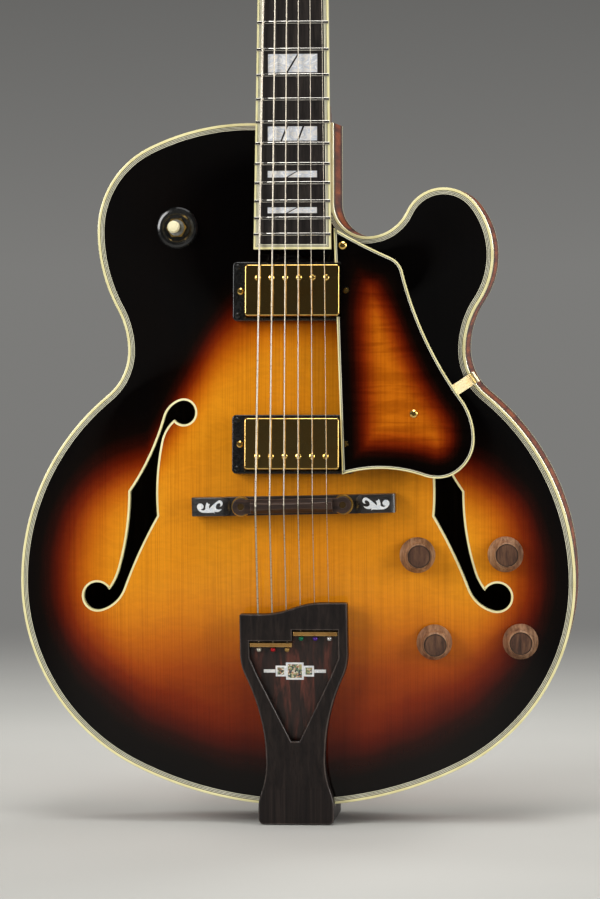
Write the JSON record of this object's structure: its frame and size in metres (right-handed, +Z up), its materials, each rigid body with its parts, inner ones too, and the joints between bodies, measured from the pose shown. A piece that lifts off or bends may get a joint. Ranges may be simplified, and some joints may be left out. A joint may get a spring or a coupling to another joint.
{
  "type": "archtop electric guitar",
  "caption": "Archtop electric guitar with a sunburst carved top, single cutaway, f-holes, covered pickups, bound finger rest, wooden tailpiece and adjustable bridge",
  "frame": {"origin": "Underside of the tailpiece's foot, on the centre line, at the middle of the rim's depth", "axes": "X to the treble side, Y from front to back, Z up the neck; the front looks along -Y"},
  "size_m": [0.41, 0.1483, 1.0336],
  "materials": {
    "spruce_top": "sunburst gloss lacquer",
    "maple": "stained, gloss lacquer",
    "inner_wood": "bare",
    "ivory_binding": "gloss",
    "ebony": "satin",
    "rosewood": "satin",
    "pearl": "gloss",
    "gold": "polished",
    "fret_metal": "polished",
    "steel": "drawn",
    "black_plastic": "gloss",
    "cream_plastic": "gloss",
    "bone": "polished"
  },
  "bodies": {
    "guitar": {"top_plate": "spruce_top", "back_plate": "maple", "bass_side": "maple", "treble_side": "maple", "linings": "inner_wood", "end_blocks": "inner_wood", "tone_bars": "inner_wood", "body_bindings": "ivory_binding", "f_hole_bindings": "ivory_binding", "neck": "maple", "heel_cap": "ivory_binding", "fretboard": "ebony", "fretboard_binding": "ivory_binding", "frets": "fret_metal", "fret_inlays": "pearl", "nut": "bone", "headstock_veneer": "ebony", "truss_rod": "steel", "truss_rod_cover": "black_plastic", "strings": "steel", "tailpiece": "ebony", "tailpiece_panel": "rosewood", "tailpiece_inlay": "pearl", "string_anchors": "gold", "strap_buttons": "gold", "bridge_base": "ebony", "bridge_inlays": "pearl", "bridge_posts": "gold", "finger_rest": "spruce_top", "finger_rest_binding": "ivory_binding", "finger_rest_bracket": "gold", "pickup_rings": "black_plastic", "pickup_covers": "gold", "screws": "gold", "switch_washer": "black_plastic", "switch_body": "steel", "pot_bodies": "steel", "panel_nuts": "gold", "output_jack": "gold", "tuner_housings": "gold"},
    "knob_1": {"knob_1": "rosewood"},
    "knob_2": {"knob_2": "rosewood"},
    "knob_3": {"knob_3": "rosewood"},
    "knob_4": {"knob_4": "rosewood"},
    "switch_lever": {"switch_lever": "cream_plastic"},
    "bridge_saddle": {"bridge_saddle": "rosewood"},
    "bass_thumbwheel": {"bass_thumbwheel": "gold"},
    "treble_thumbwheel": {"treble_thumbwheel": "gold"},
    "tuner_post_1": {"tuner_post_1": "gold"},
    "tuner_post_2": {"tuner_post_2": "gold"},
    "tuner_post_3": {"tuner_post_3": "gold"},
    "tuner_post_4": {"tuner_post_4": "gold"},
    "tuner_post_5": {"tuner_post_5": "gold"},
    "tuner_post_6": {"tuner_post_6": "gold"},
    "tuner_button_1": {"tuner_button_1": "gold"},
    "tuner_button_2": {"tuner_button_2": "gold"},
    "tuner_button_3": {"tuner_button_3": "gold"},
    "tuner_button_4": {"tuner_button_4": "gold"},
    "tuner_button_5": {"tuner_button_5": "gold"},
    "tuner_button_6": {"tuner_button_6": "gold"}
  },
  "joints": [
    {"name": "knob_1_turn", "type": "hinge", "parent": "guitar", "child": "knob_1", "pos_m": [0.0895, -0.05522, 0.19904], "axis": [0.141, -0.9898, -0.0212], "range_deg": [-145, 145]},
    {"name": "knob_2_turn", "type": "hinge", "parent": "guitar", "child": "knob_2", "pos_m": [0.1535, -0.04597, 0.19904], "axis": [0.1197, -0.9928, 0.0041], "range_deg": [-145, 145]},
    {"name": "knob_3_turn", "type": "hinge", "parent": "guitar", "child": "knob_3", "pos_m": [0.1015, -0.04984, 0.13504], "axis": [0.1037, -0.9908, -0.0869], "range_deg": [-145, 145]},
    {"name": "knob_4_turn", "type": "hinge", "parent": "guitar", "child": "knob_4", "pos_m": [0.1645, -0.04393, 0.13504], "axis": [0.0623, -0.9977, -0.0252], "range_deg": [-145, 145]},
    {"name": "switch_throw", "type": "hinge", "parent": "guitar", "child": "switch_lever", "pos_m": [-0.08676, -0.03838, 0.43833], "axis": [-0.9992, 0.0402, 0], "range_deg": [-10, 10]},
    {"name": "saddle_height", "type": "slide", "parent": "guitar", "child": "bridge_saddle", "axis": [0, 1, 0], "range_m": [0, 0.0025]},
    {"name": "bass_thumbwheel_turn", "type": "hinge", "parent": "bridge_saddle", "child": "bass_thumbwheel", "pos_m": [-0.03719, -0.07705, 0.23526], "axis": [0, 1, 0], "range_deg": [0, 1125]},
    {"name": "treble_thumbwheel_turn", "type": "hinge", "parent": "bridge_saddle", "child": "treble_thumbwheel", "pos_m": [0.03719, -0.07705, 0.23682], "axis": [0, 1, 0], "range_deg": [0, 1125]},
    {"name": "tuner_button_1_turn", "type": "hinge", "parent": "guitar", "child": "tuner_button_1", "pos_m": [-0.047, -0.00074, 0.91298], "axis": [-1, 0, 0], "continuous": true},
    {"name": "tuner_post_1_turn", "type": "hinge", "parent": "guitar", "child": "tuner_post_1", "pos_m": [-0.027, -0.0195, 0.91182], "axis": [0, -0.9563, 0.2924], "continuous": true},
    {"name": "tuner_button_2_turn", "type": "hinge", "parent": "guitar", "child": "tuner_button_2", "pos_m": [-0.047, 0.01095, 0.95124], "axis": [-1, 0, 0], "continuous": true},
    {"name": "tuner_post_2_turn", "type": "hinge", "parent": "guitar", "child": "tuner_post_2", "pos_m": [-0.027, -0.00781, 0.95007], "axis": [0, -0.9563, 0.2924], "continuous": true},
    {"name": "tuner_button_3_turn", "type": "hinge", "parent": "guitar", "child": "tuner_button_3", "pos_m": [-0.047, 0.02265, 0.98949], "axis": [-1, 0, 0], "continuous": true},
    {"name": "tuner_post_3_turn", "type": "hinge", "parent": "guitar", "child": "tuner_post_3", "pos_m": [-0.027, 0.00389, 0.98832], "axis": [0, -0.9563, 0.2924], "continuous": true},
    {"name": "tuner_button_4_turn", "type": "hinge", "parent": "guitar", "child": "tuner_button_4", "pos_m": [0.047, -0.00074, 0.91298], "axis": [1, 0, 0], "continuous": true},
    {"name": "tuner_post_4_turn", "type": "hinge", "parent": "guitar", "child": "tuner_post_4", "pos_m": [0.027, -0.0195, 0.91182], "axis": [0, -0.9563, 0.2924], "continuous": true},
    {"name": "tuner_button_5_turn", "type": "hinge", "parent": "guitar", "child": "tuner_button_5", "pos_m": [0.047, 0.01095, 0.95124], "axis": [1, 0, 0], "continuous": true},
    {"name": "tuner_post_5_turn", "type": "hinge", "parent": "guitar", "child": "tuner_post_5", "pos_m": [0.027, -0.00781, 0.95007], "axis": [0, -0.9563, 0.2924], "continuous": true},
    {"name": "tuner_button_6_turn", "type": "hinge", "parent": "guitar", "child": "tuner_button_6", "pos_m": [0.047, 0.02265, 0.98949], "axis": [1, 0, 0], "continuous": true},
    {"name": "tuner_post_6_turn", "type": "hinge", "parent": "guitar", "child": "tuner_post_6", "pos_m": [0.027, 0.00389, 0.98832], "axis": [0, -0.9563, 0.2924], "continuous": true}
  ],
  "couplings": [
    {"joint": "bass_thumbwheel_turn", "follows": "saddle_height", "rad_per_m": 7854},
    {"joint": "treble_thumbwheel_turn", "follows": "saddle_height", "rad_per_m": 7854},
    {"joint": "tuner_post_1_turn", "follows": "tuner_button_1_turn", "ratio": 0.071429},
    {"joint": "tuner_post_2_turn", "follows": "tuner_button_2_turn", "ratio": 0.071429},
    {"joint": "tuner_post_3_turn", "follows": "tuner_button_3_turn", "ratio": 0.071429},
    {"joint": "tuner_post_4_turn", "follows": "tuner_button_4_turn", "ratio": 0.071429},
    {"joint": "tuner_post_5_turn", "follows": "tuner_button_5_turn", "ratio": 0.071429},
    {"joint": "tuner_post_6_turn", "follows": "tuner_button_6_turn", "ratio": 0.071429}
  ]
}
